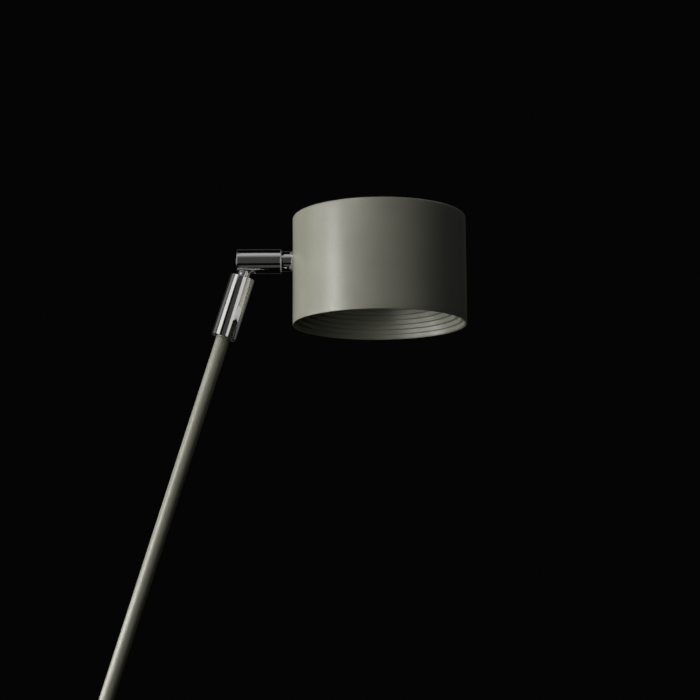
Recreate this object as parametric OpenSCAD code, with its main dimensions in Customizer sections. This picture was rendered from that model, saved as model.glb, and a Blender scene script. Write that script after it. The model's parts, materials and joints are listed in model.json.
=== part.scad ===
// Adjustable-arm reading floor lamp: weighted disc base, slim pole, elbow knuckle, leaning arm,
// head knuckle and a cylindrical shade with a stepped anti-glare baffle.
// Frame: millimetres, +Z up, origin at the centre of the base's underside, +X towards the head.

/* [Shade] */
// Outer diameter of the cylindrical shade
shade_d = 160; // [150:1:180]
// Height of the shade
shade_h = 100.5; // [96:0.5:120]
// Sheet thickness of the shade's wall
shade_wall = 1.2; // [1.0:0.1:1.6]
// Height of the stem's axis above the shade's rim
stem_height = 60; // [56:1:64]
// Number of steps in the anti-glare baffle
baffle_steps = 6; // [4:1:6]
// Height of one baffle step
step_h = 3.9; // [3.5:0.1:4.1]
// Width of one baffle step
step_w = 4.1; // [3.5:0.1:4.2]

/* [Joints] */
// Diameter of the chromed joint barrels
barrel_d = 22.4; // [22:0.1:23.4]
// Length of a forked joint barrel
barrel_len = 41; // [38:1:46]
// Length of a socket barrel
socket_len = 59.2; // [54:0.1:64]
// Diameter of the stem between the head barrel and the shade
stem_d = 18.6; // [17:0.1:19]
// Visible length of that stem
stem_gap = 10.5; // [8:0.5:16]
// Length of the wire slot in a socket barrel
wire_slot_len = 18; // [14:1:20]

/* [Arm and pole] */
// Outer diameter of the arm tube
arm_d = 12.7; // [12:0.1:13.5]
// Distance between the elbow pivot and the head pivot
arm_len = 560; // [500:10:640]
// Lean of the arm from vertical at rest
arm_tilt = 17.3; // [10:0.1:30]
// Outer diameter of the vertical pole
pole_d = 16; // [15:0.5:17]
// Height of the elbow pivot above the floor
elbow_z = 800; // [700:10:900]

/* [Base] */
// Diameter of the base plate
base_d = 280; // [260:5:300]
// Thickness of the base plate
base_t = 14; // [13:1:18]

/* [Hidden] */
$fn = 96;
br = barrel_d / 2;
off = 10;            // barrel end to pivot
shoulder = 15.3;     // pivot to the shoulder of the socket barrel
slot_w = 5.6;        // wire slot of a socket barrel
disc_r = br;         // round head of a tongue
tongue_t = 5;
fork_w = 6.2;        // narrow slot for the round head
neck_r = 5.5;
neck_w = 11.8;       // wide slot for the neck
boss_r = 8.2;        // inner bosses of the fork
slot_end = 1.7;      // pivot to the centre of the wide slot's round end
pin_r = 2.5;
swivel_r = 6;        // journal of a tongue piece
journal_r = 7;       // journal of the head stem
pad_t = 2;
base_top = pad_t + base_t;
hx = arm_len * sin(arm_tilt);
hz = elbow_z + arm_len * cos(arm_tilt);
reach = (barrel_len - off) + stem_gap + shade_d / 2;  // head pivot to the shade's axis
sx = hx + reach;
sz = hz - stem_height;  // height of the shade's rim
sr = shade_d / 2;
ri = sr - shade_wall;
tube_in = 24;        // insertion of a tube into a socket barrel
br0 = ri - 0.3;      // largest radius of the baffle
b_top = 0.4 + baffle_steps * step_h;
b_in = br0 - 3.2 - (baffle_steps - 1) * step_w + step_w;  // radius of the last riser
btn_x = -82;

olive = [0.46, 0.46, 0.40];
chrome = [0.80, 0.80, 0.82];
steel = [0.62, 0.62, 0.64];
dark = [0.10, 0.10, 0.11];

// ---- frames ----
module arm_frame() translate([0, 0, elbow_z]) rotate([0, arm_tilt, 0]) children();
module arm_top_frame() translate([hx, 0, hz]) rotate([0, arm_tilt, 0]) children();  // +Z up the arm, origin at the head pivot
module elbow_low_frame() translate([0, 0, elbow_z]) children();
module head_frame() translate([hx, 0, hz]) rotate([0, 90, 0]) children();           // +Z along the stem
module shade_frame() translate([sx, 0, sz]) children();

// ---- shared parts ----
function arc(cx, cz, r, a0, a1, n = 6) = [for (i = [0:n]) let (a = a0 + (a1 - a0) * i / n) [cx + r * cos(a), cz + r * sin(a)]];

// Forked barrel: pivot at the origin, pin along Y. The narrow slot takes the round head of the tongue,
// the wide slot, open towards +X and -Z, takes its neck, and two bosses stay round the pin.
module forked_barrel(bore_r, bore_from, wire_r) {
  difference() {
    rotate_extrude() polygon([[0, -off], [br - 0.9, -off], [br - 0.25, -off + 0.3], [br, -off + 0.9],
      [br, barrel_len - off - 0.8], [br - 0.2, barrel_len - off - 0.3], [br - 0.8, barrel_len - off], [0, barrel_len - off]]);
    rotate([90, 0, 0]) translate([0, 0, -fork_w / 2]) cylinder(r = disc_r + 0.25, h = fork_w);
    translate([-br - 2, -fork_w / 2, -off - 3]) cube([2 * br + 4, fork_w, off + 3]);
    difference() {
      union() {
        translate([-6, -neck_w / 2, -off - 3]) cube([6 + br + 2, neck_w, off + 3]);
        translate([0, -neck_w / 2, -off - 3]) cube([br + 2, neck_w, off + 3 + slot_end]);
        translate([0, 0, slot_end]) rotate([0, 90, 0]) cylinder(r = neck_w / 2, h = br + 2);
      }
      rotate([90, 0, 0]) translate([0, 0, -20]) cylinder(r = boss_r, h = 40);
    }
    translate([0, 0, bore_from]) cylinder(r = bore_r, h = barrel_len);
    cylinder(r = wire_r, h = barrel_len);
    // pin seat: blind on the -Y side, counterbored on the +Y side
    rotate([-90, 0, 0]) translate([0, 0, -8]) cylinder(r = pin_r + 0.03, h = 30);
    rotate([-90, 0, 0]) translate([0, 0, br - 3.2]) cylinder(r = 4.1, h = 10);
    // grub screw hole on the +Y side
    rotate([-90, 0, 0]) translate([0, -(barrel_len - off - 9), 4]) cylinder(r = 2, h = 20);
  }
}
module pivot_screw() {
  difference() {
    union() {
      rotate([-90, 0, 0]) translate([0, 0, -7.8]) cylinder(r = pin_r, h = 7.8 + br - 3.2);
      rotate([-90, 0, 0]) translate([0, 0, br - 3.2]) cylinder(r = 3.9, h = 2.2);
    }
    rotate([-90, 0, 0]) translate([0, 0, br - 2.4]) cylinder(r = 1.7, h = 4, $fn = 6);
  }
}
module friction_washers() {
  for (s = [-1, 1]) rotate([90, 0, 0]) translate([0, 0, s * 2.8 - 0.25]) difference() {
    cylinder(r = 5.5, h = 0.5);
    translate([0, 0, -1]) cylinder(r = pin_r + 0.1, h = 3);
  }
}
module grub_screw(from, r_out, r = 1.95) {
  difference() {
    rotate([-90, 0, 0]) translate([0, 0, from]) cylinder(r = r, h = r_out - from);
    rotate([-90, 0, 0]) translate([0, 0, r_out - 1.8]) cylinder(r = 1.1, h = 4, $fn = 6);
  }
}
// Tongue, neck and swivel journal in one turned piece: pivot at the origin, the piece runs down -Z.
module tongue() {
  difference() {
    union() {
      rotate([90, 0, 0]) translate([0, 0, -tongue_t / 2]) cylinder(r = disc_r, h = tongue_t);
      difference() {
        translate([0, 0, -shoulder - 0.5]) cylinder(r = neck_r, h = shoulder + 0.5);
        rotate([90, 0, 0]) translate([0, 0, -20]) cylinder(r = boss_r + 0.4, h = 40);
      }
      translate([0, 0, -shoulder - 18]) cylinder(r = swivel_r, h = 18);
      translate([0, 0, -shoulder - 26]) cylinder(r = 3.5, h = 9);
    }
    rotate([90, 0, 0]) translate([0, 0, -10]) cylinder(r = pin_r + 0.05, h = 20);
    // wire way: up the journal and out of the neck on the +Y side
    translate([0, 0, -shoulder - 30]) cylinder(r = 1.6, h = 32.5);
    translate([0, 0, -shoulder + 1.2]) rotate([-90, 0, 0]) cylinder(r = 1.6, h = 10);
  }
}
module tongue_nut() {
  translate([0, 0, -shoulder - 24.6]) difference() {
    cylinder(r = 5.4, h = 4, $fn = 6);
    translate([0, 0, -1]) cylinder(r = 3.53, h = 8);
  }
}
// Socket barrel: journal bore at the top, tube bore and wire slot at the bottom. Origin at the pivot.
module socket_barrel(tube_r, slot_turn) {
  top = -shoulder; bot = -shoulder - socket_len;
  difference() {
    rotate_extrude() polygon([[0, top], [br - 1.1, top], [br - 0.3, top - 0.35], [br, top - 1.1],
      [br, bot + 0.7], [br - 0.7, bot], [0, bot]]);
    translate([0, 0, -shoulder - 18.2]) cylinder(r = swivel_r + 0.05, h = 20);
    translate([0, 0, -shoulder - 20.5]) cylinder(r = 3.6, h = 4);
    translate([0, 0, bot - 1]) cylinder(r = 5.8, h = socket_len - 20.5 + 1);
    translate([0, 0, bot - 1]) cylinder(r = tube_r, h = tube_in + 1);
    rotate([0, 0, slot_turn]) translate([0, -slot_w / 2, bot - 1]) cube([br + 2, slot_w, wire_slot_len + 1 - slot_w / 2]);
    rotate([0, 0, slot_turn]) translate([0, 0, bot + wire_slot_len - slot_w / 2]) rotate([0, 90, 0]) cylinder(r = slot_w / 2, h = br + 2);
    // two grub screw holes on the +Y side
    for (z = [bot + 7, bot + 17]) translate([0, 0, z]) rotate([-90, 0, 0]) cylinder(r = 2, h = br + 2);
  }
}
module socket_screws(tube_r) {
  bot = -shoulder - socket_len;
  for (z = [bot + 7, bot + 17]) translate([0, 0, z]) grub_screw(tube_r + 0.02, br - 0.6, 1.9);
}
module tube(r, wall, h) difference() { cylinder(r = r, h = h); translate([0, 0, -1]) cylinder(r = r - wall, h = h + 2); }

// ---- base ----
module base_plate() color(olive) difference() {
  rotate_extrude() polygon(concat([[0, pad_t], [base_d / 2 - 1.5, pad_t], [base_d / 2, pad_t + 1.2]],
    arc(base_d / 2 - 2.5, base_top - 2.5, 2.5, 0, 90, 6), [[0, base_top]]));
  translate([0, 0, pad_t - 1]) cylinder(r = 7.1, h = 40);
  translate([0, 0, pad_t - 1]) cylinder(r = 17, h = 7.5);
  // wire channel from the centre to the rear rim, the last stretch a round hole for the grommet
  translate([-(base_d / 2 - 14), -4, pad_t - 1]) cube([base_d / 2 - 14, 8, 6.5]);
  translate([-(base_d / 2) - 1, 0, pad_t + 4.2]) rotate([0, 90, 0]) cylinder(r = 4, h = 18);
  // seat of the foot switch
  translate([btn_x, 0, pad_t - 1]) cylinder(r = 15, h = base_t - 2.5);
  translate([btn_x, 0, 0]) cylinder(r = 10.2, h = 40);
  for (s = [-1, 1]) translate([btn_x, s * 19, pad_t - 1]) cylinder(r = 1.55, h = 5.6);
  translate([btn_x - 4, -23.6, pad_t - 1]) cube([8, 47.2, 3.45]);
}
module base_pad() color(dark) cylinder(d = base_d - 6, h = pad_t);
module cable_grommet() color(dark) translate([-(base_d / 2) + 13.4, 0, pad_t + 4.2]) rotate([0, -90, 0]) difference() {
  union() { cylinder(r = 3.95, h = 14.9); translate([0, 0, 13.4]) cylinder(r1 = 5.6, r2 = 4.9, h = 2.6); }
  translate([0, 0, -1]) cylinder(r = 2.6, h = 30);
}
module pole_foot() color(chrome) difference() {
  union() {
    translate([0, 0, base_top]) cylinder(d = 34, h = 2.4);
    translate([0, 0, base_top + 2.4]) cylinder(d1 = 33, d2 = 32, h = 0.8);
    translate([0, 0, base_top]) cylinder(r = br, h = 27.2);
    translate([0, 0, base_top + 27.2]) cylinder(r1 = br, r2 = br - 0.8, h = 0.8);
    translate([0, 0, pad_t + 1]) cylinder(r = 7, h = base_t);
  }
  translate([0, 0, base_top + 4]) cylinder(r = pole_d / 2 + 0.05, h = 40);
  cylinder(r = 4, h = 60);
  translate([0, 0, base_top + 14]) rotate([-90, 0, 0]) cylinder(r = 2, h = 20);
}
module foot_nut() color(steel) translate([0, 0, pad_t + 0.6]) difference() { cylinder(r = 12, h = 4.2, $fn = 6); translate([0, 0, -1]) cylinder(r = 7.02, h = 10); }
module foot_washer() color(steel) translate([0, 0, pad_t + 4.9]) difference() { cylinder(r = 14, h = 1.5); translate([0, 0, -1]) cylinder(r = 7.05, h = 10); }
module foot_button() color(chrome) translate([btn_x, 0, 0]) {
  translate([0, 0, base_top - 2.4]) cylinder(r = 9.8, h = 8.2);
  translate([0, 0, base_top + 5.8]) cylinder(r1 = 9.8, r2 = 8.6, h = 1.2);
  translate([0, 0, base_top - 2.9]) cylinder(r = 4, h = 0.5);
}
module button_bezel() color(chrome) translate([btn_x, 0, base_top]) rotate_extrude() polygon([[10.0, 0], [14, 0], [13.6, 1.2], [12.8, 1.8], [10.0, 1.8]]);
module switch_module() color(dark) translate([btn_x, 0, pad_t + 0.4]) difference() {
  union() { cylinder(r = 14, h = 6.8); translate([-3.5, -23, 0]) cube([7, 46, 2]); }
  for (s = [-1, 1]) translate([0, s * 19, -1]) cylinder(r = 1.6, h = 5);
  translate([0, 0, 4]) cylinder(r = 9, h = 6);
}
module switch_screws() color(steel) for (s = [-1, 1]) translate([btn_x, s * 19, pad_t + 0.1]) { cylinder(r = 2.8, h = 0.28); cylinder(r = 1.5, h = 4.3); }

// ---- pole ----
pole_bot = base_top + 4;
pole_top = elbow_z - shoulder - socket_len + tube_in;
module pole_tube() color(olive) translate([0, 0, pole_bot]) tube(pole_d / 2, 1.5, pole_top - pole_bot);
module pole_wire() color(dark) translate([0, 0, pad_t + 7]) cylinder(r = 2.6, h = pole_top - pad_t - 4);
module pole_socket() color(chrome) elbow_low_frame() socket_barrel(pole_d / 2 + 0.05, -50);
module pole_socket_screws() color(steel) elbow_low_frame() socket_screws(pole_d / 2);

// ---- elbow ----
module elbow_tongue() color(chrome) elbow_low_frame() tongue();
module elbow_tongue_nut() color(steel) elbow_low_frame() tongue_nut();
module elbow_barrel() color(chrome) arm_frame() forked_barrel(arm_d / 2 + 0.05, 13, 2.8);
module elbow_pivot_screw() color(steel) arm_frame() pivot_screw();
module elbow_friction_washers() color(dark) arm_frame() friction_washers();
module elbow_grub_screw() color(steel) arm_frame() translate([0, 0, barrel_len - off - 9]) grub_screw(arm_d / 2 + 0.02, br - 0.6, 1.9);

// ---- arm ----
module arm_tube() color(olive) arm_frame() translate([0, 0, 13]) tube(arm_d / 2, 1.2, arm_len - shoulder - socket_len + tube_in - 13);
module arm_wire() color(dark) arm_frame() translate([0, 0, 12.5]) cylinder(r = 2.6, h = arm_len - shoulder - socket_len + tube_in - 12.5);
module arm_socket() color(chrome) arm_top_frame() socket_barrel(arm_d / 2 + 0.05, -50);
module arm_socket_screws() color(steel) arm_top_frame() socket_screws(arm_d / 2);

// ---- head knuckle ----
module head_tongue() color(chrome) arm_top_frame() tongue();
module head_tongue_nut() color(steel) arm_top_frame() tongue_nut();
module head_barrel() color(chrome) head_frame() forked_barrel(journal_r + 0.05, 13, 2.8);
module head_pivot_screw() color(steel) head_frame() pivot_screw();
module head_friction_washers() color(dark) head_frame() friction_washers();
module barrel_grub_screw() color(steel) head_frame() translate([0, 0, barrel_len - off - 9]) grub_screw(journal_r - 0.9, br - 0.6, 1.9);

// ---- head ----
module head_stem() color(chrome) difference() {
  head_frame() difference() {
    union() {
      translate([0, 0, 13.4]) cylinder(r = journal_r, h = barrel_len - off - 13.4 + 1);
      translate([0, 0, barrel_len - off + 0.15]) cylinder(r1 = stem_d / 2 - 0.5, r2 = stem_d / 2, h = 0.5);
      translate([0, 0, barrel_len - off + 0.65]) cylinder(r = stem_d / 2, h = stem_gap);
      translate([0, 0, barrel_len - off + 1]) cylinder(r = 5, h = stem_gap + 12);
    }
    translate([0, 0, 5]) cylinder(r = 2.9, h = 80);
    // groove for the grub screw's point, and groove for the o-ring
    translate([0, 0, barrel_len - off - 9 - 2.3]) difference() { cylinder(r = 8, h = 4.6); translate([0, 0, -1]) cylinder(r = journal_r - 1, h = 8); }
    translate([0, 0, 15.4]) difference() { cylinder(r = 8, h = 2.2); translate([0, 0, -1]) cylinder(r = journal_r - 1.5, h = 8); }
  }
  shade_frame() difference() { cylinder(r = sr + 0.02, h = shade_h); translate([-sr - 2, 0, stem_height]) rotate([0, 90, 0]) cylinder(r = 5, h = 30); }
}
module swivel_oring() color(dark) head_frame() translate([0, 0, 16.5]) rotate_extrude() translate([journal_r - 0.75, 0]) circle(r = 0.7, $fn = 24);
module stem_washer() color(steel) shade_frame() difference() {
  intersection() { translate([-sr, 0, stem_height]) rotate([0, 90, 0]) cylinder(r = 10, h = 4.6); cylinder(r = ri - 0.06, h = shade_h); }
  translate([-sr - 1, 0, stem_height]) rotate([0, 90, 0]) cylinder(r = 5.1, h = 20);
}
module stem_nut() color(steel) shade_frame() translate([-sr + 4.65, 0, stem_height]) rotate([0, 90, 0]) difference() { cylinder(r = 9.2, h = 5, $fn = 6); translate([0, 0, -1]) cylinder(r = 5.02, h = 10); }
module shade() color(olive) shade_frame() difference() {
  rotate_extrude() polygon(concat(
    [[ri + 0.1, 0.15], [ri + 0.35, 0], [sr - 0.35, 0], [sr, 0.35]],
    arc(sr - 1.6, shade_h - 1.6, 1.6, 0, 90, 6),
    [[0, shade_h], [0, shade_h - 1.6], [ri, shade_h - 1.6], [ri, 0.4]]));
  translate([-sr - 1, 0, stem_height]) rotate([0, 90, 0]) cylinder(r = 5.1, h = 4);
}
car_z = b_top + 1.5;  // underside of the carrier plate
module studs3(r) for (a = [30, 150, 270]) rotate([0, 0, a]) translate([r, 0, 0]) children();
module carrier_studs() color(steel) shade_frame() studs3(69) {
  translate([0, 0, car_z + 1.6]) cylinder(r = 3.5, h = shade_h - 1.6 - car_z - 1.6);
  translate([0, 0, car_z - 6]) cylinder(r = 2, h = 8);
}
module lamp_carrier() color(steel) shade_frame() difference() {
  translate([0, 0, car_z]) cylinder(r = ri - 0.4, h = 1.6);
  translate([0, 0, car_z - 1]) cylinder(r = 50, h = 4);
  translate([0, 0, car_z - 1]) studs3(69) cylinder(r = 2.1, h = 4);
  translate([0, 0, car_z - 1]) rotate([0, 0, 60]) studs3(59) cylinder(r = 1.6, h = 4);
  translate([0, 0, car_z - 1]) rotate([0, 0, 30]) studs3(52) cylinder(r = 1.6, h = 4);
}
module carrier_nuts() color(steel) shade_frame() translate([0, 0, car_z - 3.1]) studs3(69) difference() { cylinder(r = 3.8, h = 3.1, $fn = 6); translate([0, 0, -1]) cylinder(r = 2.02, h = 6); }
// Stepped cone: each step is a riser and a tread, in sheet 0.9 thick
function b_r(i) = i == 0 ? br0 : br0 - 3.2 - (i - 1) * step_w;
function b_z(i) = 0.4 + i * step_h;
module stepped_baffle() color(olive) shade_frame() difference() {
  rotate_extrude() polygon(concat(
    [for (i = [0:baffle_steps - 1]) each [[b_r(i) - 0.9 + (i == 0 ? 0.3 : 0), b_z(i) + (i == 0 ? 0 : 0.25)], [b_r(i) - 0.9, b_z(i) + (i == 0 ? 0.3 : 0.6)], [b_r(i) - 0.9, b_z(i + 1)]]],
    [[b_r(baffle_steps - 1) - 5, b_top], [b_r(baffle_steps - 1) - 5, b_top + 1.5], [b_r(baffle_steps - 1) + 4, b_top + 1.5], [b_r(baffle_steps - 1) + 4, b_top + 0.6], [b_r(baffle_steps - 1), b_top + 0.6]],
    [for (i = [baffle_steps - 1:-1:1]) each [[b_r(i), b_z(i) + 0.9], [b_r(i - 1), b_z(i) + 0.9]]],
    [[b_r(0), 0.4]]));
  translate([0, 0, b_top - 1]) rotate([0, 0, 60]) studs3(59) cylinder(r = 1.6, h = 4);
}
module baffle_screws() color(steel) shade_frame() rotate([0, 0, 60]) studs3(59) { translate([0, 0, b_top - 0.4]) cylinder(r = 1.5, h = 4); translate([0, 0, car_z + 1.62]) cylinder(r = 2.8, h = 1.8); }
module retaining_ring() color(dark) shade_frame() difference() {
  rotate_extrude() polygon([[49.5, car_z + 1.62], [55.5, car_z + 1.62], [55.5, car_z + 6.9], [53.2, car_z + 6.9], [53.2, car_z + 4.4], [49.5, car_z + 4.4]]);
  translate([0, 0, car_z]) rotate([0, 0, 30]) studs3(52) cylinder(r = 1.35, h = 10);
}
module diffuser() color([0.85, 0.85, 0.82, 0.6]) shade_frame() difference() {
  translate([0, 0, car_z + 4.45]) cylinder(r = 53.1, h = 2.4);
  translate([0, 0, car_z]) rotate([0, 0, 30]) studs3(52) cylinder(r = 1.6, h = 10);
}
module led_board() color([0.9, 0.9, 0.88]) shade_frame() {
  translate([0, 0, car_z + 11.2]) cylinder(r = 46, h = 1.6);
  for (k = [0:11]) rotate([0, 0, k * 30]) translate([34, 0, car_z + 10.6]) translate([-1.5, -1.5, 0]) cube([3, 3, 0.62]);
  for (k = [0:5]) rotate([0, 0, k * 60 + 15]) translate([18, 0, car_z + 10.6]) translate([-1.5, -1.5, 0]) cube([3, 3, 0.62]);
}
module heat_sink() color(steel) shade_frame() difference() {
  union() {
    translate([0, 0, car_z + 12.8]) cylinder(r = 56, h = 4);
    difference() { translate([0, 0, car_z + 6.95]) cylinder(r = 56, h = 5.9); translate([0, 0, car_z]) cylinder(r = 50, h = 20); }
    intersection() {
      for (k = [-6:6]) translate([-60, k * 8 - 1, car_z + 16]) cube([120, 2, 16]);
      translate([0, 0, car_z]) cylinder(r = 56, h = 40);
    }
  }
  translate([0, 0, car_z]) rotate([0, 0, 30]) studs3(52) cylinder(r = 1.3, h = 11);
  translate([-70, 0, car_z + 28]) rotate([0, 90, 0]) cylinder(r = 5, h = 34);
}
module heat_sink_screws() color(steel) shade_frame() rotate([0, 0, 30]) studs3(52) { translate([0, 0, car_z - 1.6]) cylinder(r = 1.8, h = 1.58); translate([0, 0, car_z - 0.2]) cylinder(r = 1.2, h = 11); }
module head_wire() color(dark) shade_frame() translate([-sr - 14, 0, stem_height]) rotate([0, 90, 0]) cylinder(r = 2.5, h = 54);

base_plate();
base_pad();
cable_grommet();
pole_foot();
foot_nut();
foot_washer();
foot_button();
button_bezel();
switch_module();
switch_screws();
pole_tube();
pole_wire();
pole_socket();
pole_socket_screws();
elbow_tongue();
elbow_tongue_nut();
elbow_barrel();
elbow_pivot_screw();
elbow_friction_washers();
elbow_grub_screw();
arm_tube();
arm_wire();
arm_socket();
arm_socket_screws();
head_tongue();
head_tongue_nut();
head_barrel();
head_pivot_screw();
head_friction_washers();
barrel_grub_screw();
swivel_oring();
head_stem();
stem_washer();
stem_nut();
shade();
carrier_studs();
lamp_carrier();
carrier_nuts();
stepped_baffle();
baffle_screws();
retaining_ring();
diffuser();
led_board();
heat_sink();
heat_sink_screws();
head_wire();
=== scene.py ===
import json
import math
import bpy
import bmesh
from mathutils import Matrix, Vector

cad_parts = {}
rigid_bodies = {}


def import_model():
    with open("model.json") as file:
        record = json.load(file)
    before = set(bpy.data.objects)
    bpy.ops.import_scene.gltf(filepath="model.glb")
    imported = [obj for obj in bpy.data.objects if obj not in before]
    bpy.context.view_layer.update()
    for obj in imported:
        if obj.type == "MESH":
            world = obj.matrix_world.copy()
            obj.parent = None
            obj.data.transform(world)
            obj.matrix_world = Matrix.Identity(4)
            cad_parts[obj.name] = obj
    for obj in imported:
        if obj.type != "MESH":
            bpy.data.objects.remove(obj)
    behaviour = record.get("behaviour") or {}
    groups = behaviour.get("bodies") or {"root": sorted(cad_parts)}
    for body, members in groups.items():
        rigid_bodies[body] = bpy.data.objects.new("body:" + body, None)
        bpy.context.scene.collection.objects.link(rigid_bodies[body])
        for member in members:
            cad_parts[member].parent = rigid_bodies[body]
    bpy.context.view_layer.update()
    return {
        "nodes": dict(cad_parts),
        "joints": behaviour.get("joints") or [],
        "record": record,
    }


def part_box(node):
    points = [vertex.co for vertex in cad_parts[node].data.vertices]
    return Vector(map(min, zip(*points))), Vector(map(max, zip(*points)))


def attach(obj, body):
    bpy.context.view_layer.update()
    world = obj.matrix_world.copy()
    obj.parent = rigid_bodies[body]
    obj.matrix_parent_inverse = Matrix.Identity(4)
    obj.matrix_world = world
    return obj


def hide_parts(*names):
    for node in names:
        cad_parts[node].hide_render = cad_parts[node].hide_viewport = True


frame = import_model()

MM = 0.001
JOINTS = {j["name"]: j for j in frame["joints"]}

# ---------------------------------------------------------------- the frame's own numbers
ELBOW = Vector(JOINTS["elbow_tilt"]["pos_m"])
HEAD = Vector(JOINTS["head_tilt"]["pos_m"])
ARM_AXIS = Vector(JOINTS["head_turn"]["axis"])
TILT = math.atan2(ARM_AXIS.x, ARM_AXIS.z)
S_LO, S_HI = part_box("shade")
SHADE = Vector(((S_LO.x + S_HI.x) / 2, 0, S_LO.z))
SHADE_R = (S_HI.x - S_LO.x) / 2 / MM
SHADE_H = (S_HI.z - S_LO.z) / MM
B_LO, B_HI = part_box("base_plate")
BASE_R = (B_HI.x - B_LO.x) / 2 / MM
PAD_T = B_LO.z / MM
BASE_TOP = B_HI.z / MM
F_LO, F_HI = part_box("foot_button")
BTN_X = (F_LO.x + F_HI.x) / 2 / MM

BR = 11.2          # joint barrels
OFF = 10.0         # barrel end to pivot
BARREL = 41.0
SHOULDER = 15.3
SOCKET = 59.2
STEM_R = 9.3
STEM_GAP = 10.5
STEM_Z = 60.0
ARM_R = 6.35
POLE_R = 8.0
FORK_W = 6.2
NECK_R = 5.5
NECK_W = 11.8
BOSS_R = 8.2
SLOT_C = 1.7
WIRE_SLOT_W = 5.6
WIRE_SLOT_L = 18.0

M_STAND = Matrix.Identity(4)
M_ELBOW = Matrix.Translation(ELBOW)
M_ARM = Matrix.Translation(ELBOW) @ Matrix.Rotation(TILT, 4, "Y")
M_ARM_TOP = Matrix.Translation(HEAD) @ Matrix.Rotation(TILT, 4, "Y")
M_HEAD = Matrix.Translation(HEAD) @ Matrix.Rotation(math.radians(90), 4, "Y")
M_SHADE = Matrix.Translation(SHADE)


# ---------------------------------------------------------------- mesh helpers (millimetres in, metres out)
def link(name, me):
    o = bpy.data.objects.new(name, me)
    bpy.context.scene.collection.objects.link(o)
    return o


def arc(cx, cz, r, a0, a1, n=6):
    return [(cx + r * math.cos(math.radians(a0 + (a1 - a0) * i / n)),
             cz + r * math.sin(math.radians(a0 + (a1 - a0) * i / n))) for i in range(n + 1)]


def lathe(name, profile, m=Matrix.Identity(4), n=128, closed=False):
    """Turned solid: profile of (radius, height) points; a point at radius 0 is a pole, closed joins the last to the first."""
    bm = bmesh.new()
    rings = []
    for r, z in profile:
        if r < 1e-6:
            rings.append([bm.verts.new((0, 0, z * MM))])
        else:
            rings.append([bm.verts.new((r * MM * math.cos(2 * math.pi * k / n), r * MM * math.sin(2 * math.pi * k / n), z * MM)) for k in range(n)])
    pairs = list(zip(rings, rings[1:]))
    if closed:
        pairs.append((rings[-1], rings[0]))
    for a, b in pairs:
        for k in range(n):
            k2 = (k + 1) % n
            if len(a) == 1 and len(b) == 1:
                continue
            if len(a) == 1:
                bm.faces.new((a[0], b[k2], b[k]))
            elif len(b) == 1:
                bm.faces.new((a[k], a[k2], b[0]))
            else:
                bm.faces.new((a[k], a[k2], b[k2], b[k]))
    bmesh.ops.recalc_face_normals(bm, faces=bm.faces)
    me = bpy.data.meshes.new(name)
    bm.to_mesh(me)
    bm.free()
    me.transform(m)
    return link(name, me)


def cyl(r, h, m=Matrix.Identity(4), n=96, name="cut"):
    return lathe(name, [(0, 0), (r, 0), (r, h), (0, h)], m, n)


def block(lo, hi, m=Matrix.Identity(4), name="cut"):
    bm = bmesh.new()
    bmesh.ops.create_cube(bm, size=1.0)
    for v in bm.verts:
        v.co = Vector(((lo[i] + (v.co[i] + 0.5) * (hi[i] - lo[i])) * MM for i in range(3)))
    me = bpy.data.meshes.new(name)
    bm.to_mesh(me)
    bm.free()
    me.transform(m)
    return link(name, me)


def prism(pts, h, m=Matrix.Identity(4), name="cut"):
    """Straight solid over a closed outline in X and Y."""
    bm = bmesh.new()
    lo = [bm.verts.new((x * MM, y * MM, 0)) for x, y in pts]
    hi = [bm.verts.new((x * MM, y * MM, h * MM)) for x, y in pts]
    bm.faces.new(lo)
    bm.faces.new(hi)
    for i in range(len(pts)):
        j = (i + 1) % len(pts)
        bm.faces.new((lo[i], lo[j], hi[j], hi[i]))
    bmesh.ops.recalc_face_normals(bm, faces=bm.faces)
    me = bpy.data.meshes.new(name)
    bm.to_mesh(me)
    bm.free()
    me.transform(m)
    return link(name, me)


def baked(obj):
    """Applies the object's modifiers."""
    dg = bpy.context.evaluated_depsgraph_get()
    dg.update()
    me = bpy.data.meshes.new_from_object(obj.evaluated_get(dg))
    obj.modifiers.clear()
    obj.data = me
    return obj


def boolean(obj, other, op="DIFFERENCE"):
    mod = obj.modifiers.new("b", "BOOLEAN")
    mod.operation = op
    mod.solver = "EXACT"
    mod.object = other
    bpy.context.view_layer.update()
    baked(obj)
    bpy.data.objects.remove(other)
    return obj


def drop(o):
    bpy.data.objects.remove(o)


def soften(obj, width=0.22, segments=2, angle=32):
    """Eases the edges and shades the rest smooth."""
    bm = bmesh.new()
    bm.from_mesh(obj.data)
    bmesh.ops.remove_doubles(bm, verts=bm.verts, dist=2e-6)
    bmesh.ops.dissolve_degenerate(bm, edges=bm.edges, dist=1e-6)
    bm.to_mesh(obj.data)
    bm.free()
    if width:
        mod = obj.modifiers.new("bevel", "BEVEL")
        mod.width = width * MM
        mod.segments = segments
        mod.limit_method = "ANGLE"
        mod.angle_limit = math.radians(angle)
        mod.harden_normals = False
        mod.use_clamp_overlap = True
        mod.miter_outer = "MITER_ARC"
        bpy.context.view_layer.update()
        baked(obj)
    return smooth(obj, angle)


def smooth(obj, angle=32):
    obj.data.shade_smooth()
    obj.data.set_sharp_from_angle(angle=math.radians(angle))
    return obj


def place(obj, body, slot, *nodes):
    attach(obj, body)
    if nodes:
        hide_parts(*nodes)
    obj.data.materials.clear()
    obj.data.materials.append(MATS[slot])
    return obj


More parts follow.
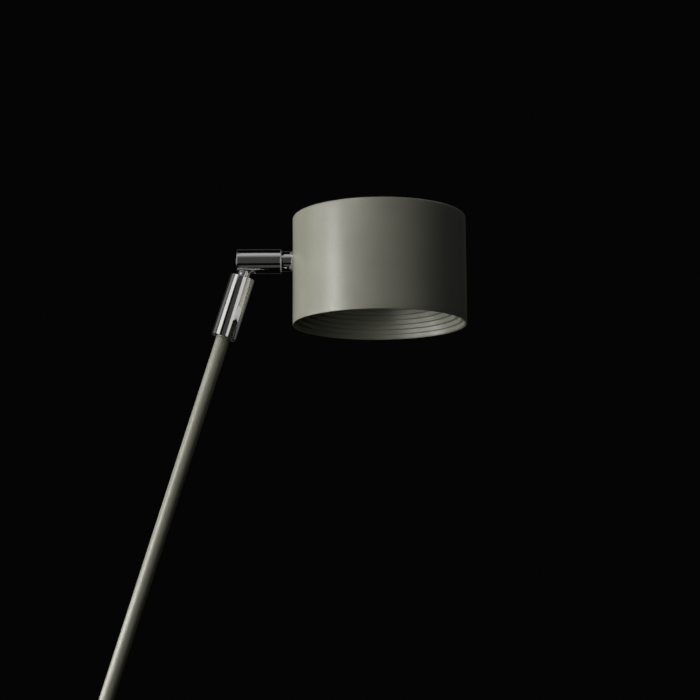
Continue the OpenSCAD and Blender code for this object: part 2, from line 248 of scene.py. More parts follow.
# ---------------------------------------------------------------- materials
def mat(name):
    m = bpy.data.materials.new(name)
    m.use_nodes = True
    nt = m.node_tree
    nt.nodes.clear()
    out = nt.nodes.new("ShaderNodeOutputMaterial")
    sh = nt.nodes.new("ShaderNodeBsdfPrincipled")
    nt.links.new(sh.outputs[0], out.inputs[0])
    tc = nt.nodes.new("ShaderNodeTexCoord")
    return m, nt, sh, tc


def noise(nt, vec, scale, detail=3.0, rough=0.55):
    n = nt.nodes.new("ShaderNodeTexNoise")
    n.inputs["Scale"].default_value = scale
    n.inputs["Detail"].default_value = detail
    n.inputs["Roughness"].default_value = rough
    nt.links.new(vec, n.inputs["Vector"])
    return n


def mapping(nt, vec, scale):
    n = nt.nodes.new("ShaderNodeMapping")
    n.inputs["Scale"].default_value = scale
    nt.links.new(vec, n.inputs["Vector"])
    return n.outputs[0]


def ramp(nt, fac, stops):
    r = nt.nodes.new("ShaderNodeValToRGB")
    e = r.color_ramp.elements
    while len(e) < len(stops):
        e.new(0.5)
    for el, (p, c) in zip(e, stops):
        el.position = p
        el.color = (*c, 1) if len(c) == 3 else c
    nt.links.new(fac, r.inputs[0])
    return r.outputs[0]


def mrange(nt, fac, lo, hi, a=0.3, b=0.7):
    r = nt.nodes.new("ShaderNodeMapRange")
    r.inputs["From Min"].default_value = a
    r.inputs["From Max"].default_value = b
    r.inputs["To Min"].default_value = lo
    r.inputs["To Max"].default_value = hi
    nt.links.new(fac, r.inputs["Value"])
    return r.outputs[0]


def bump(nt, sh, height, dist, strength=1.0, chain=None):
    b = nt.nodes.new("ShaderNodeBump")
    b.inputs["Distance"].default_value = dist
    b.inputs["Strength"].default_value = strength
    nt.links.new(height, b.inputs["Height"])
    if chain is not None:
        nt.links.new(chain, b.inputs["Normal"])
    nt.links.new(b.outputs[0], sh.inputs["Normal"])
    return b.outputs[0]


def mixc(nt, fac, a, b):
    m = nt.nodes.new("ShaderNodeMix")
    m.data_type = "RGBA"
    nt.links.new(fac, m.inputs[0])
    for sock, v in ((m.inputs[6], a), (m.inputs[7], b)):
        if isinstance(v, (tuple, list)):
            sock.default_value = (*v, 1)
        else:
            nt.links.new(v, sock)
    return m.outputs[2]


def powder(name, base, spun):
    """Olive-grey powder coat: fine orange-peel grain, faint colour drift, and a trace of the spun sheet's lines."""
    m, nt, sh, tc = mat(name)
    vec = tc.outputs["Object"]
    drift = noise(nt, vec, 26, 4, 0.6)
    fleck = noise(nt, vec, 1500, 2, 0.5)
    lo = tuple(c * 0.93 for c in base)
    hi = tuple(c * 1.06 for c in base)
    c1 = ramp(nt, drift.outputs["Fac"], [(0.3, lo), (0.7, hi)])
    c2 = mixc(nt, mrange(nt, fleck.outputs["Fac"], 0.0, 0.22, 0.5, 0.75), c1, tuple(min(1, c * 1.5) for c in base))
    nt.links.new(c2, sh.inputs["Base Color"])
    nt.links.new(mrange(nt, noise(nt, vec, 380, 3, 0.6).outputs["Fac"], 0.33, 0.41), sh.inputs["Roughness"])
    sh.inputs["Specular IOR Level"].default_value = 0.85
    grain = noise(nt, vec, 1100, 3, 0.6)
    n1 = bump(nt, sh, grain.outputs["Fac"], 0.00010, 0.55)
    if spun:
        lines = noise(nt, mapping(nt, vec, (150, 150, 700)), 1.0, 3, 0.6)
        bump(nt, sh, lines.outputs["Fac"], 0.00012, 0.45, n1)
    return m


def chrome(name, base=(0.84, 0.83, 0.82), rough=(0.08, 0.13)):
    """Polished chrome plate: a faint haze that drifts, hairline scratches and a very slight waviness."""
    m, nt, sh, tc = mat(name)
    vec = tc.outputs["Object"]
    haze = noise(nt, vec, 60, 4, 0.6)
    c = ramp(nt, haze.outputs["Fac"], [(0.3, tuple(v * 0.95 for v in base)), (0.7, base)])
    nt.links.new(c, sh.inputs["Base Color"])
    sh.inputs["Metallic"].default_value = 1.0
    fine = noise(nt, vec, 700, 4, 0.7)
    nt.links.new(mrange(nt, fine.outputs["Fac"], rough[0], rough[1]), sh.inputs["Roughness"])
    wave = noise(nt, vec, 90, 2, 0.5)
    n1 = bump(nt, sh, wave.outputs["Fac"], 0.00002, 0.25)
    scr = noise(nt, mapping(nt, vec, (2600, 120, 2600)), 1.0, 3, 0.7)
    bump(nt, sh, scr.outputs["Fac"], 0.000006, 0.25, n1)
    return m


def metal(name, base, rough, grain=900, cls_dist=0.00002):
    m, nt, sh, tc = mat(name)
    vec = tc.outputs["Object"]
    c = ramp(nt, noise(nt, vec, 120, 4, 0.65).outputs["Fac"], [(0.3, tuple(v * 0.85 for v in base)), (0.7, base)])
    nt.links.new(c, sh.inputs["Base Color"])
    sh.inputs["Metallic"].default_value = 1.0
    g = noise(nt, vec, grain, 4, 0.7)
    nt.links.new(mrange(nt, g.outputs["Fac"], rough * 0.8, rough * 1.3), sh.inputs["Roughness"])
    bump(nt, sh, g.outputs["Fac"], cls_dist, 0.4)
    return m


def dielectric(name, base, rough, grain=800, dist=0.00004, vary=0.15):
    m, nt, sh, tc = mat(name)
    vec = tc.outputs["Object"]
    c = ramp(nt, noise(nt, vec, 60, 4, 0.6).outputs["Fac"], [(0.3, tuple(v * (1 - vary) for v in base)), (0.7, tuple(min(1, v * (1 + vary)) for v in base))])
    nt.links.new(c, sh.inputs["Base Color"])
    g = noise(nt, vec, grain, 4, 0.65)
    nt.links.new(mrange(nt, g.outputs["Fac"], rough * 0.88, min(1, rough * 1.12)), sh.inputs["Roughness"])
    bump(nt, sh, g.outputs["Fac"], dist, 0.5)
    return m


OLIVE = (0.36, 0.36, 0.285)
MATS = {
    "olive_steel": powder("olive_steel_coat", OLIVE, False),
    "olive_aluminium": powder("olive_aluminium_coat", OLIVE, True),
    "chrome": chrome("chrome_plate"),
    "steel": metal("zinc_steel", (0.56, 0.56, 0.58), 0.32),
    "raw_aluminium": metal("raw_aluminium", (0.66, 0.66, 0.67), 0.38, 600),
    "black_rubber": dielectric("black_rubber", (0.022, 0.022, 0.022), 0.75, 900, 0.00008),
    "wire_insulation": dielectric("wire_insulation", (0.025, 0.025, 0.027), 0.5, 500, 0.00003),
    "black_plastic": dielectric("black_plastic", (0.018, 0.018, 0.018), 0.55, 1200, 0.00006),
    # painted shade: the opal diffuser gets a near-black colour standing for the dark, unlit recess above the baffle,
    # not the lens's own milky colour
    "opal_diffuser": dielectric("opal_diffuser", (0.010, 0.010, 0.010), 0.5, 500, 0.00005, 0.05),
    "white_board": dielectric("white_board", (0.72, 0.72, 0.68), 0.45, 500, 0.00002, 0.04),
}
for entry in frame["record"]["subparts"]:
    o = frame["nodes"][entry["node"]]
    for s in o.material_slots:
        s.material = MATS[entry["material_slot"]]
    if not o.material_slots:
        o.data.materials.append(MATS[entry["material_slot"]])
    smooth(o, 28)

# ---------------------------------------------------------------- camera first
rim = SHADE
cam_data = bpy.data.cameras.new("camera")
cam = bpy.data.objects.new("camera", cam_data)
bpy.context.scene.collection.objects.link(cam)
PITCH, ROLL = 0.1663, -0.0049
fwd = Vector((0, math.cos(PITCH), math.sin(PITCH)))
up0 = Vector((0, -math.sin(PITCH), math.cos(PITCH)))
right0 = Vector((1, 0, 0))
right = math.cos(ROLL) * right0 + math.sin(ROLL) * up0
up = -math.sin(ROLL) * right0 + math.cos(ROLL) * up0
m = Matrix((right, up, -fwd)).transposed().to_4x4()
m.translation = rim + Vector((-0.02754, -1.50512, -0.27589))
cam.matrix_world = m
cam_data.sensor_width = 36
cam_data.lens = 1666.36 / 700 * 36
cam_data.clip_start = 0.05
cam_data.clip_end = 60
bpy.context.scene.camera = cam


# ---------------------------------------------------------------- chromed joint pieces
def forked_barrel(name, frame_m, bore_r):
    e = BARREL - OFF
    o = lathe(name, [(0, -OFF), (BR - 0.95, -OFF)] + arc(BR - 0.95, -OFF + 0.95, 0.95, -90, 0, 4)[1:] +
              [(BR, e - 0.8)] + arc(BR - 0.8, e - 0.8, 0.8, 0, 90, 4)[1:] + [(0, e)], n=160)
    ry = Matrix.Rotation(math.radians(90), 4, "X")
    t = lambda x, y, z: Matrix.Translation((x * MM, y * MM, z * MM))
    # narrow slot for the round head
    boolean(o, block((-BR - 2, -FORK_W / 2, -OFF - 3), (BR + 2, FORK_W / 2, 0)))
    boolean(o, cyl(BR + 0.25, FORK_W, t(0, FORK_W / 2, 0) @ ry, 144))
    # wide slot for the neck, less the bosses round the pin
    w = prism([(-6, -OFF - 3), (BR + 2, -OFF - 3), (BR + 2, 0), (-6, 0)], NECK_W, t(0, NECK_W / 2, 0) @ ry)
    end = prism([(-NECK_W / 2, -OFF - 3)] + [(-NECK_W / 2, SLOT_C)] +
                [(NECK_W / 2 * math.cos(math.radians(180 - a * 6)), SLOT_C + NECK_W / 2 * math.sin(math.radians(180 - a * 6))) for a in range(1, 30)] +
                [(NECK_W / 2, SLOT_C), (NECK_W / 2, -OFF - 3)], BR + 2,
                Matrix(((0, 0, 1, 0), (1, 0, 0, 0), (0, 1, 0, 0), (0, 0, 0, 1))))
    boolean(w, end, "UNION")
    boolean(w, cyl(BOSS_R, 40, t(0, 20, 0) @ ry, 96))
    boolean(o, w)
    # tube or journal bore with the wire way
    boolean(o, cyl(bore_r, 40, t(0, 0, 13), 96))
    boolean(o, cyl(2.8, 40, t(0, 0, 5), 48))
    # pin seat and grub screw hole on the far side
    rz = Matrix.Rotation(math.radians(-90), 4, "X")
    boolean(o, cyl(2.53, 30, t(0, -8, 0) @ rz, 64))
    boolean(o, cyl(4.1, 10, t(0, BR - 3.2, 0) @ rz, 64))
    boolean(o, cyl(2.0, 20, t(0, 4, BARREL - OFF - 9) @ rz, 48))
    soften(o, 0.2, 2, 34)
    o.data.transform(frame_m)
    return o


def tongue(name, frame_m):
    t = lambda x, y, z: Matrix.Translation((x * MM, y * MM, z * MM))
    ry = Matrix.Rotation(math.radians(90), 4, "X")
    o = lathe(name, [(0, -2.5), (BR - 0.3, -2.5), (BR, -2.2), (BR, 2.2), (BR - 0.3, 2.5), (0, 2.5)], ry, 160)
    neck = lathe("neck", [(0, -SHOULDER - 26), (3.1, -SHOULDER - 26), (3.5, -SHOULDER - 25.6), (3.5, -SHOULDER - 18), (5.7, -SHOULDER - 18),
                          (6.0, -SHOULDER - 17.7), (6.0, -SHOULDER - 0.1), (NECK_R, -SHOULDER + 0.1), (NECK_R, 0), (0, 0)], n=96)
    boss = cyl(BOSS_R + 0.4, 40, t(0, 20, 0) @ ry, 128)
    boolean(neck, boss)
    boolean(o, neck, "UNION")
    boolean(o, cyl(2.55, 20, t(0, 10, 0) @ ry, 64))
    soften(o, 0.18, 2, 36)
    o.data.transform(frame_m)
    return o


def socket_barrel(name, frame_m, tube_r, slot_turn):
    top, bot = -SHOULDER, -SHOULDER - SOCKET
    t = lambda x, y, z: Matrix.Translation((x * MM, y * MM, z * MM))
    o = lathe(name, [(0, top), (BR - 1.1, top), (BR - 0.7, top - 0.08), (BR - 0.3, top - 0.35), (BR - 0.08, top - 0.7), (BR, top - 1.1),
                     (BR, bot + 0.75), (BR - 0.12, bot + 0.35), (BR - 0.4, bot + 0.1), (BR - 0.8, bot), (0, bot)], n=160)
    boolean(o, cyl(6.05, 20, t(0, 0, top - 18.2), 96))
    boolean(o, cyl(3.6, 4, t(0, 0, top - 20.5), 64))
    boolean(o, cyl(5.8, SOCKET - 19.5, t(0, 0, bot - 1), 96))
    boolean(o, cyl(tube_r, 25, t(0, 0, bot - 1), 96))
    s = Matrix.Rotation(math.radians(slot_turn), 4, "Z")
    hw = WIRE_SLOT_W / 2
    zc = bot + WIRE_SLOT_L - hw
    # outline in (y, z), run out along the turned +X
    pts = [(-hw, bot - 1), (hw, bot - 1)] + [(hw * math.cos(math.radians(a * 7.5)), zc + hw * math.sin(math.radians(a * 7.5))) for a in range(0, 25)]
    boolean(o, prism(pts, BR + 2, s @ Matrix(((0, 0, 1, 0), (1, 0, 0, 0), (0, 1, 0, 0), (0, 0, 0, 1)))))
    rz = Matrix.Rotation(math.radians(-90), 4, "X")
    for z in (bot + 7, bot + 17):
        boolean(o, cyl(2.0, BR + 2, t(0, 0, z) @ rz, 48))
    soften(o, 0.2, 2, 34)
    o.data.transform(frame_m)
    return o


head_barrel = place(forked_barrel("head_barrel_chromed", M_HEAD, 7.05), "head_fork", "chrome", "head_barrel")
elbow_barrel = place(forked_barrel("elbow_barrel_chromed", M_ARM, ARM_R + 0.05), "arm", "chrome", "elbow_barrel")
head_tongue = place(tongue("head_tongue_turned", M_ARM_TOP), "head_knuckle", "chrome", "head_tongue")
elbow_tongue = place(tongue("elbow_tongue_turned", M_ELBOW), "elbow_knuckle", "chrome", "elbow_tongue")
arm_socket = place(socket_barrel("arm_socket_chromed", M_ARM_TOP, ARM_R + 0.05, -50), "arm", "chrome", "arm_socket")
pole_socket = place(socket_barrel("pole_socket_chromed", M_ELBOW, POLE_R + 0.05, -50), "stand", "chrome", "pole_socket")


# ---------------------------------------------------------------- stem
def stem():
    e = BARREL - OFF
    end = e + 0.65 + STEM_GAP
    o = lathe("head_stem_turned", [(2.9, 13.4), (6.7, 13.4), (7.0, 13.7), (7.0, 15.4), (5.5, 15.4), (5.5, 17.6), (7.0, 17.6), (7.0, 19.7), (6.0, 19.7), (6.0, 24.3), (7.0, 24.3),
                                   (7.0, e + 0.15), (STEM_R - 0.5, e + 0.15), (STEM_R - 0.15, e + 0.3), (STEM_R, e + 0.65), (STEM_R, e + STEM_GAP + 1.0),
                                   (5.0, e + STEM_GAP + 1.0), (5.0, e + STEM_GAP + 12.4), (4.6, e + STEM_GAP + 12.8), (2.9, e + STEM_GAP + 12.8)], n=128, closed=True)
    # the collar's end follows the shade's curve, with the hole's spigot going on through the wall
    c = Matrix.Translation((0, 0, (BARREL - OFF + STEM_GAP + SHADE_R) * MM)) @ Matrix.Rotation(math.radians(90), 4, "Y")
    tool = cyl(SHADE_R + 0.02, 60, Matrix.Translation((-30 * MM, 0, (BARREL - OFF + STEM_GAP + SHADE_R) * MM)) @ Matrix.Rotation(math.radians(90), 4, "Y"), 384)
    core = cyl(5.0, 60, Matrix.Identity(4), 128)
    boolean(tool, core)
    boolean(o, tool)
    soften(o, 0.1, 2, 34)
    o.data.transform(M_HEAD)
    return o


head_stem = place(stem(), "head", "chrome", "head_stem")


# ---------------------------------------------------------------- shade and baffle
def shade():
    ro, ri, h = SHADE_R, SHADE_R - 1.2, SHADE_H
    prof = [(ri, 0.45), (ri + 0.06, 0.2), (ri + 0.25, 0.03), (ri + 0.6, 0.0), (ro - 0.25, 0.03), (ro - 0.06, 0.2), (ro, 0.5)]
    prof += [(ro, z) for z in (6, 20, 40, 60, 80, h - 8)]
    prof += arc(ro - 1.6, h - 1.6, 1.6, 0, 90, 8)
    prof += [(ro - 8, h), (40, h), (0, h)]
    inner = [(0, h - 1.6), (40, h - 1.6), (ri, h - 1.6), (ri, 40)]
    bm_prof = prof
    o = lathe("shade_shell", bm_prof + inner, n=288, closed=False)
    # close the wall: inner bottom ring back to the lip
    bm = bmesh.new()
    bm.from_mesh(o.data)
    open_edges = [e for e in bm.edges if e.is_boundary]
    bmesh.ops.bridge_loops(bm, edges=open_edges)
    bmesh.ops.recalc_face_normals(bm, faces=bm.faces)
    bm.to_mesh(o.data)
    bm.free()
    boolean(o, cyl(5.1, 6, Matrix.Translation((-(SHADE_R + 1.5) * MM, 0, STEM_Z * MM)) @ Matrix.Rotation(math.radians(90), 4, "Y"), 64))
    smooth(o, 30)
    o.data.transform(M_SHADE)
    return o


STEPS, STEP_H, STEP_W, RI = 6, 3.9, 4.1, SHADE_R - 1.2
BR0 = RI - 0.3


def b_r(i):
    return BR0 if i == 0 else BR0 - 3.2 - (i - 1) * STEP_W


def b_z(i):
    return 0.4 + i * STEP_H


def baffle():
    """Stepped cone pressed from sheet: every nose and inner corner is rounded."""
    t = 0.9
    top = b_z(STEPS)
    inner = []      # the side towards the light, from the mouth upwards
    for i in range(STEPS):
        r, z0, z1 = b_r(i) - t, b_z(i), b_z(i + 1)
        if i == 0:
            inner += [(r + 0.45, z0), (r + 0.13, z0 + 0.13), (r, z0 + 0.45)]
        else:
            inner += [(r + 0.5, z0), (r + 0.25, z0 + 0.05), (r + 0.07, z0 + 0.2), (r, z0 + 0.45)]
        if i < STEPS - 1:
            inner += [(r, z1 - 0.35), (r - 0.1, z1 - 0.1), (r - 0.35, z1)]
        else:
            inner += [(r, top - 0.35), (r - 0.1, top - 0.1), (r - 0.35, top)]
    r5 = b_r(STEPS - 1)
    back = [(r5 - 4.7, top), (r5 - 5, top + 0.3), (r5 - 5, top + 1.2), (r5 - 4.7, top + 1.5), (r5 + 3.7, top + 1.5), (r5 + 4, top + 1.2), (r5 + 4, top + 0.6), (r5, top + 0.6)]
    for i in range(STEPS - 1, 0, -1):
        back += [(b_r(i), b_z(i) + 0.9), (b_r(i - 1), b_z(i) + 0.9)]
    back += [(b_r(0), 0.6), (b_r(0) - 0.15, 0.4)]
    o = lathe("baffle_steps", inner + back, n=240, closed=True)
    smooth(o, 30)
    o.data.transform(M_SHADE)
    return o


shade_o = place(shade(), "head", "olive_aluminium", "shade")
baffle_o = place(baffle(), "head", "olive_aluminium", "stepped_baffle")


# ---------------------------------------------------------------- tubes
def tube(name, r, wall, z0, z1, frame_m, n=96):
    zs = [z0 + 0.4, z1 - 0.4]
    mid = [z0 + (z1 - z0) * k / 8 for k in range(1, 8)]
    prof = [(r - wall, z0), (r - 0.3, z0), (r - 0.08, z0 + 0.1), (r, zs[0])] + [(r, z) for z in mid] + [(r, zs[1]), (r - 0.08, z1 - 0.1), (r - 0.3, z1), (r - wall, z1)]
    o = lathe(name, prof, n=n, closed=True)
    smooth(o, 30)
    o.data.transform(frame_m)
    return o


ARM_LEN = (HEAD - ELBOW).length / MM
arm_end = ARM_LEN - SHOULDER - SOCKET + 24
place(tube("arm_tube_coated", ARM_R, 1.2, 13, arm_end, M_ARM), "arm", "olive_steel", "arm_tube")
P_LO, P_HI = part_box("pole_tube")
place(tube("pole_tube_coated", POLE_R, 1.5, P_LO.z / MM, P_HI.z / MM, M_STAND, 112), "stand", "olive_steel", "pole_tube")


# ---------------------------------------------------------------- base
def base_plate():
    prof = [(0, PAD_T), (BASE_R - 1.6, PAD_T), (BASE_R - 0.5, PAD_T + 0.3), (BASE_R, PAD_T + 1.2)]
    prof += arc(BASE_R - 2.5, BASE_TOP - 2.5, 2.5, 0, 90, 8)
    prof += [(BASE_R - 12, BASE_TOP), (40, BASE_TOP), (0, BASE_TOP)]
    o = lathe("base_plate_coated", prof, n=256)
    t = lambda x, y, z: Matrix.Translation((x * MM, y * MM, z * MM))
    boolean(o, cyl(7.1, 40, t(0, 0, PAD_T - 1), 64))
    boolean(o, cyl(17, 7.5, t(0, 0, PAD_T - 1), 64))
    boolean(o, block((-(BASE_R - 14), -4, PAD_T - 1), (0, 4, PAD_T + 5.5)))
    boolean(o, cyl(4, 18, t(-BASE_R - 1, 0, PAD_T + 4.2) @ Matrix.Rotation(math.radians(90), 4, "Y"), 64))
    boolean(o, cyl(15, BASE_TOP - PAD_T - 2.5, t(BTN_X, 0, PAD_T - 1), 96))
    boolean(o, cyl(10.2, 40, t(BTN_X, 0, 0), 96))
    boolean(o, block((BTN_X - 4, -23.6, PAD_T - 1), (BTN_X + 4, 23.6, PAD_T + 2.45)))
    for s in (-1, 1):
        boolean(o, cyl(1.55, 5.6, t(BTN_X, s * 19, PAD_T - 1), 32))
    smooth(o, 30)
    return o


place(base_plate(), "stand", "olive_steel", "base_plate")


def pad():
    r = BASE_R - 3
    o = lathe("base_pad_felted", [(0, 0), (r - 0.6, 0), (r - 0.18, 0.15), (r, 0.6), (r, PAD_T - 0.25), (r - 0.2, PAD_T), (0, PAD_T)], n=192)
    return smooth(o, 35)


place(pad(), "stand", "black_rubber", "base_pad")


def foot():
    z = BASE_TOP
    prof = [(POLE_R + 0.05, z + 4), (POLE_R + 0.05, z + 27.2), (POLE_R + 0.5, z + 27.9), (POLE_R + 0.9, z + 28), (BR - 0.9, z + 28)] + \
        arc(BR - 0.8, z + 27.2, 0.8, 80, 0, 5) + [(BR, z + 5.0), (BR + 0.35, z + 3.9), (BR + 1.2, z + 3.3)] + \
        [(15.4, z + 3.2), (16.3, z + 3.0), (16.8, z + 2.5), (17.0, z + 1.8), (17.0, z), (7.0, z), (7.0, PAD_T + 1), (4.0, PAD_T + 1), (4.0, z + 4)]
    o = lathe("pole_foot_turned", prof, n=144, closed=True)
    boolean(o, cyl(2.0, 20, Matrix.Translation((0, 0, (z + 14) * MM)) @ Matrix.Rotation(math.radians(-90), 4, "X"), 48))
    return smooth(o, 30)


place(foot(), "stand", "chrome", "pole_foot")


def button():
    z = BASE_TOP
    prof = [(0, z - 2.9), (4, z - 2.9), (4, z - 2.4), (9.5, z - 2.4), (9.8, z - 2.1), (9.8, z + 5.6)] + arc(8.9, z + 5.9, 0.9, 0, 70, 5)[1:] + \
        [(8.4, z + 6.9), (7.6, z + 6.95), (6.6, z + 6.75), (4.5, z + 6.5), (2.0, z + 6.38), (0, z + 6.35)]
    o = lathe("foot_button_cap", prof, Matrix.Translation((BTN_X * MM, 0, 0)), 112)
    return smooth(o, 30)


place(button(), "button", "chrome", "foot_button")


def bezel():
    z = BASE_TOP
    prof = [(10.0, z), (14, z), (13.95, z + 0.5), (13.7, z + 1.1), (13.2, z + 1.55), (12.6, z + 1.78), (11.8, z + 1.8), (10.6, z + 1.8), (10.15, z + 1.65), (10.0, z + 1.3)]
    o = lathe("button_bezel_turned", prof, Matrix.Translation((BTN_X * MM, 0, 0)), 112, True)
    return smooth(o, 30)


place(bezel(), "stand", "chrome", "button_bezel")


def grommet():
    x0 = -BASE_R + 13.4
    m4 = Matrix.Translation((x0 * MM, 0, (PAD_T + 4.2) * MM)) @ Matrix.Rotation(math.radians(-90), 4, "Y")
    prof = [(2.6, 0.0), (3.7, 0.0), (3.95, 0.25), (3.95, 13.4), (5.3, 13.4), (5.58, 13.6), (5.55, 14.0), (5.2, 15.4), (4.9, 15.85), (4.5, 16.0), (3.0, 16.0), (2.68, 15.85), (2.6, 15.5)]
    o = lathe("cable_grommet_moulded", prof, m4, 72, True)
    return smooth(o, 30)


place(grommet(), "stand", "black_rubber", "cable_grommet")


# ---------------------------------------------------------------- light exit: ring and diffuser
def screw_spot(a, z):
    return Matrix.Translation((52 * MM * math.cos(math.radians(a)), 52 * MM * math.sin(math.radians(a)), z * MM))


def ring():
    z = b_z(STEPS) + 1.5
    prof = [(49.5, z + 1.9), (49.8, z + 1.62), (55.2, z + 1.62), (55.5, z + 1.9), (55.5, z + 6.7), (55.3, z + 6.9), (53.4, z + 6.9), (53.2, z + 6.7), (53.2, z + 4.4), (49.8, z + 4.4), (49.5, z + 4.1)]
    o = lathe("retaining_ring_moulded", prof, Matrix.Identity(4), 200, True)
    for a in (60, 180, 300):
        boolean(o, cyl(1.35, 10, screw_spot(a, z), 32))
    o.data.transform(M_SHADE)
    return smooth(o, 30)


place(ring(), "head", "black_plastic", "retaining_ring")


def diffuser():
    z = b_z(STEPS) + 1.5 + 4.45
    # fine concentric ribs on the underside
    prof = [(0, z + 0.05)]
    r = 1.6
    while r < 48.5:
        prof += [(r - 0.5, z + 0.28), (r, z), (r + 0.5, z + 0.28)]
        r += 1.6
    prof += [(49.2, z + 0.2), (52.8, z + 0.2), (53.1, z + 0.45), (53.1, z + 2.2), (52.9, z + 2.4), (0, z + 2.4)]
    o = lathe("diffuser_lens", prof, Matrix.Identity(4), 160)
    for a in (60, 180, 300):
        boolean(o, cyl(1.6, 10, screw_spot(a, z - 4), 32))
    o.data.transform(M_SHADE)
    return smooth(o, 60)


place(diffuser(), "head", "opal_diffuser", "diffuser")


# ---------------------------------------------------------------- floor and studio
def floor():
    bm = bmesh.new()
    bmesh.ops.create_grid(bm, x_segments=1, y_segments=1, size=4.0)
    me = bpy.data.meshes.new("floor")
    bm.to_mesh(me)
    bm.free()
    o = link("floor", me)
    m, nt, sh, tc = mat("floor_paint")
    vec = tc.outputs["Object"]
    c = ramp(nt, noise(nt, vec, 1.2, 4, 0.5).outputs["Fac"], [(0.3, (0.62, 0.62, 0.61)), (0.7, (0.66, 0.66, 0.65))])
    nt.links.new(c, sh.inputs["Base Color"])
    sh.inputs["Roughness"].default_value = 0.6
    me.materials.append(m)
    o.visible_diffuse = False
    o.visible_glossy = False
    return o


floor()


def area(name, loc, target, size, size_y, power, spread=180, color=(1, 1, 1)):
    l = bpy.data.lights.new(name, "AREA")
    l.shape = "RECTANGLE"
    l.size = size
    l.size_y = size_y
    l.energy = power
    l.color = color
    l.spread = math.radians(spread)
    o = bpy.data.objects.new(name, l)
    bpy.context.scene.collection.objects.link(o)
    o.location = loc
    o.rotation_euler = (Vector(target) - Vector(loc)).to_track_quat("-Z", "Y").to_euler()
    return o


H = SHADE + Vector((0, 0, 0.05))


def around(az, el, dist, at=H):
    """A point round the head: az 0 is the camera's side, positive towards -X."""
    a, e = math.radians(az), math.radians(el)
    return at + Vector((-math.sin(a) * math.cos(e), -math.cos(a) * math.cos(e), math.sin(e))) * dist


# reflector cards are only seen by the chromed parts, the softboxes only light the rest
CHROMED = bpy.data.collections.new("chromed_parts")
COATED = bpy.data.collections.new("other_parts")
for o in bpy.context.scene.objects:
    if o.type == "MESH":
        (CHROMED if any(sl.material == MATS["chrome"] for sl in o.material_slots) else COATED).objects.link(o)


def softbox(name, az0, az1, el0, el1, radiance, dist=1.7, receivers=None, diffuse=True):
    """Panel facing the head that fills the given angles as seen from it."""
    a, e = (az0 + az1) / 2, (el0 + el1) / 2
    w = dist * math.radians(az1 - az0) * max(0.25, math.cos(math.radians(e)))
    h = dist * math.radians(el1 - el0)
    o = area(name, around(a, e, dist), H, w, h, radiance * w * h * math.pi)
    o.visible_diffuse = diffuse
    if receivers:
        o.light_linking.receiver_collection = receivers
    return o


SOFTBOXES = (
    # tall key low on the left, brightest at its lower edge
    ("key_a", 54, 64, -14, -6, 12.6, 1.0),
    ("key_b", 64, 74, -14, -6, 1.9, 1.0),
    ("key_c", 74, 86, -14, -6, 12.0, 1.0),
    ("key_d", 86, 100, -14, -5, 9.5, 1.0),
    ("key_e", 86, 100, -26, -14, 8.5, 1.0),
    ("key_f", 74, 86, 10, 34, 2.2, 1.0),
    ("key_g", 86, 100, 10, 20, 1.3, 1.0),
    # second softbox, high on the left and nearer the camera
    ("high_a", 42, 54, 34, 52, 6.7, 1.0),
    ("high_b", 54, 74, 34, 52, 2.4, 1.0),
    ("high_c", 28, 42, 20, 52, 4.3, 1.0),
    # weak front and back fill
    ("front", 0, 28, 10, 36, 0.38, 1.7),
    ("low", 34, 58, -26, -8, 2.5, 1.0),
    ("back", 150, 210, 20, 60, 0.26, 1.7),
    ("right", -60, -20, -8, 12, 0.08, 1.7),
    ("side", -125, -85, -10, 35, 0.06, 1.7),
)
for name, a0, a1, e0, e1, level, dist in SOFTBOXES:
    softbox(name, a0, a1, e0, e1, level, dist, COATED)
softbox("sheen", 54, 68, 2, 12, 16.0, 1.7, COATED, False)

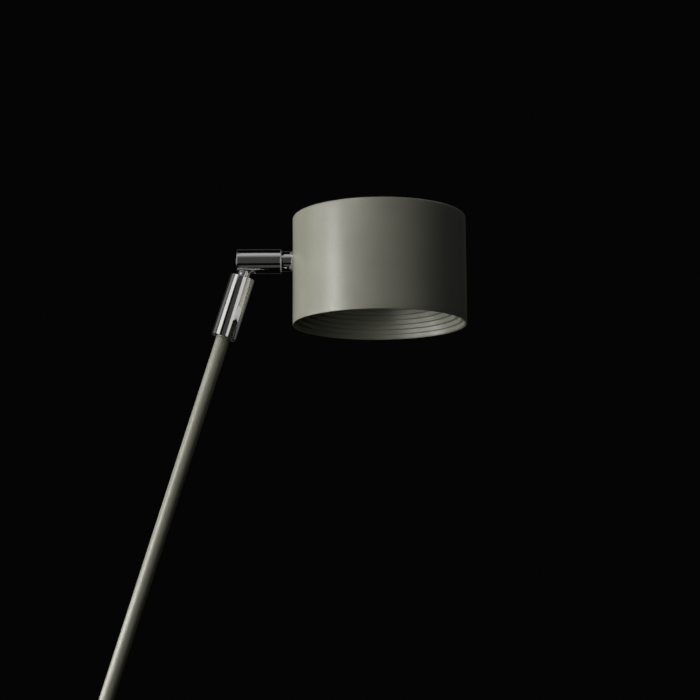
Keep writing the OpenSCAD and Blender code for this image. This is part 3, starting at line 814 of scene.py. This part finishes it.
CARDS = (
    ("left", 42, 76, -30, 60, 0.80, 1.7),
    ("far_left", 84, 122, -20, 60, 0.17, 1.7),
    ("right_a", -45, -12, -30, 25, 0.62, 1.7),
    ("right_b", -86, -55, -30, 25, 0.50, 1.7),
    ("top_a", -45, 45, 60, 76, 0.42, 1.7),
    ("top_b", -45, 45, 49, 60, 0.46, 1.7),
    ("top_c", -45, 45, 39, 49, 0.23, 1.7),
    ("top_d", -45, 45, 29, 39, 0.13, 1.7),
    ("front", -11, 25, -28, 29, 0.045, 1.7),
    ("low", -40, 40, -70, -48, 0.06, 1.1),
    ("back", 140, 220, -10, 50, 0.05, 1.7),
    ("back_right", -150, -100, -20, 50, 0.12, 1.7),
)
for name, a0, a1, e0, e1, level, dist in CARDS:
    softbox("card_" + name, a0, a1, e0, e1, level, dist, CHROMED, False)
area("base_light", (-0.8, -0.8, 0.92), (0.0, 0, 0.0), 0.5, 0.5, 2.2, 60)
GROUND = bpy.data.collections.new("ground")
for o in bpy.data.objects:
    if o.type == "MESH" and "floor" in o.name.lower():
        GROUND.objects.link(o)
wash = area("floor_wash", (0.0, 0.0, 3.0), (0.0, 0.0, 0.0), 2.6, 2.6, 30)
wash.light_linking.receiver_collection = GROUND

# even light for the sides turned away from the key
away = softbox("away", -175, -135, 0, 40, 0.8, 1.7, COATED)
away.visible_glossy = False
STAND = bpy.data.collections.new("stand_parts")
bpy.context.view_layer.update()
for o in bpy.data.objects:
    if o.type == "MESH" and o.name not in GROUND.objects:
        if max((o.matrix_world @ Vector(c)).z for c in o.bound_box) < 0.95:
            STAND.objects.link(o)
for name, loc in (("stand_right", (1.7, -0.5, 1.1)), ("stand_back", (0.6, 1.7, 1.1))):
    area(name, loc, (0.0, 0.0, 0.5), 1.3, 1.3, 16).light_linking.receiver_collection = STAND

world = bpy.data.worlds.new("studio")
bpy.context.scene.world = world
world.use_nodes = True
bg = world.node_tree.nodes["Background"]
bg.inputs[0].default_value = (0.0015, 0.0015, 0.0015, 1)
bg.inputs[1].default_value = 1.0
bpy.context.scene.view_settings.view_transform = "Standard"
bpy.context.scene.view_settings.look = "None"
bpy.context.scene.view_settings.exposure = 0
bpy.context.scene.view_settings.gamma = 1
